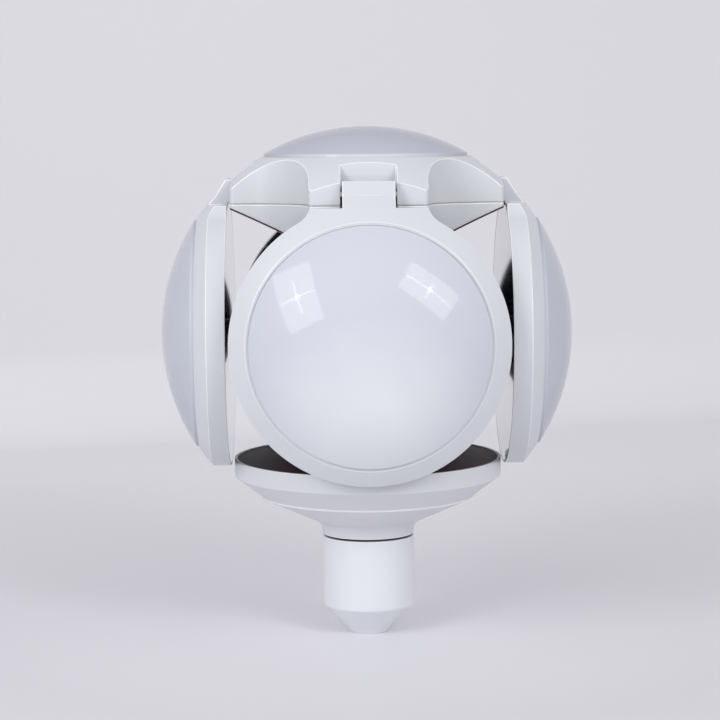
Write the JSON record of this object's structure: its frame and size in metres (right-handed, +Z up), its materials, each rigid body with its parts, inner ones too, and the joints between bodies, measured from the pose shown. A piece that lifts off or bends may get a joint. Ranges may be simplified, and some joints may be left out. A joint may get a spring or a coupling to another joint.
{
  "type": "folding solar camping bulb",
  "caption": "Folding lamp bulb: round light leaves with solar backs hang from a head and close into a ball over a bowl with a screw base and a cap.",
  "frame": {"origin": "middle of the cap's foot, on the surface the lamp stands on", "axes": "+Z up along the lamp's axis; -Y is the front, towards the viewer of the picture; +X is the picture's right"},
  "size_m": [0.139, 0.139, 0.1729],
  "materials": {
    "white_plastic": "satin, slightly cool white",
    "milky_plastic": "milky, lets light through",
    "solar_panel": "dark cells under clear resin",
    "dark_plastic": "dark brownish black, glossy",
    "black_plastic": "matt",
    "led_board": "white solder mask",
    "control_board": "green solder mask",
    "leds": "yellow phosphor",
    "battery_cell": "wrapped in blue film",
    "steel": "nickel plated",
    "thread_metal": "bright rolled",
    "contact_metal": "bright",
    "seal_rubber": "matt"
  },
  "bodies": {
    "cap": {"cap": "white_plastic"},
    "core": {"bowl": "white_plastic", "bowl_cover": "dark_plastic", "control_board": "control_board", "board_parts": "black_plastic", "board_screws": "steel", "switch_body": "black_plastic", "column": "white_plastic", "battery_cell": "battery_cell", "battery_spring": "steel", "battery_contact": "steel", "head_lower_shell": "white_plastic", "head_under_plate": "dark_plastic", "head_upper_shell": "white_plastic", "head_screws": "steel", "head_led_board": "led_board", "head_leds": "leds", "head_led_screws": "steel", "head_lens": "milky_plastic", "screw_shell": "thread_metal", "contact_insulator": "black_plastic", "centre_contact": "contact_metal", "seal_ring": "seal_rubber", "hinge_pin_right": "steel", "hinge_pin_rear": "steel", "hinge_pin_left": "steel", "hinge_pin_front": "steel"},
    "leaf_right": {"leaf_shell_right": "white_plastic", "leaf_lens_right": "milky_plastic", "leaf_solar_panel_right": "solar_panel", "leaf_led_board_right": "led_board", "leaf_leds_right": "leds", "leaf_board_screws_right": "steel"},
    "leaf_rear": {"leaf_shell_rear": "white_plastic", "leaf_lens_rear": "milky_plastic", "leaf_solar_panel_rear": "solar_panel", "leaf_led_board_rear": "led_board", "leaf_leds_rear": "leds", "leaf_board_screws_rear": "steel"},
    "leaf_left": {"leaf_shell_left": "white_plastic", "leaf_lens_left": "milky_plastic", "leaf_solar_panel_left": "solar_panel", "leaf_led_board_left": "led_board", "leaf_leds_left": "leds", "leaf_board_screws_left": "steel"},
    "leaf_front": {"leaf_shell_front": "white_plastic", "leaf_lens_front": "milky_plastic", "leaf_solar_panel_front": "solar_panel", "leaf_led_board_front": "led_board", "leaf_leds_front": "leds", "leaf_board_screws_front": "steel"},
    "button": {"push_button": "white_plastic"}
  },
  "joints": [
    {"name": "cap_pull", "type": "slide", "parent": "cap", "child": "core", "axis": [0, 0, 1], "range_m": [0, 0.036]},
    {"name": "leaf_hinge_right", "type": "hinge", "parent": "core", "child": "leaf_right", "pos_m": [0.0434, 0, 0.15103], "axis": [0, -1, 0], "range_deg": [0, 90]},
    {"name": "leaf_hinge_rear", "type": "hinge", "parent": "core", "child": "leaf_rear", "pos_m": [0, 0.0434, 0.15103], "axis": [1, 0, 0], "range_deg": [0, 90]},
    {"name": "leaf_hinge_left", "type": "hinge", "parent": "core", "child": "leaf_left", "pos_m": [-0.0434, 0, 0.15103], "axis": [0, 1, 0], "range_deg": [0, 90]},
    {"name": "leaf_hinge_front", "type": "hinge", "parent": "core", "child": "leaf_front", "pos_m": [0, -0.0434, 0.15103], "axis": [-1, 0, 0], "range_deg": [0, 90]},
    {"name": "button_press", "type": "slide", "parent": "core", "child": "button", "axis": [0, 0, -1], "range_m": [0, 0.0012], "stiffness_N_per_m": 300, "springref_m": -0.001}
  ]
}
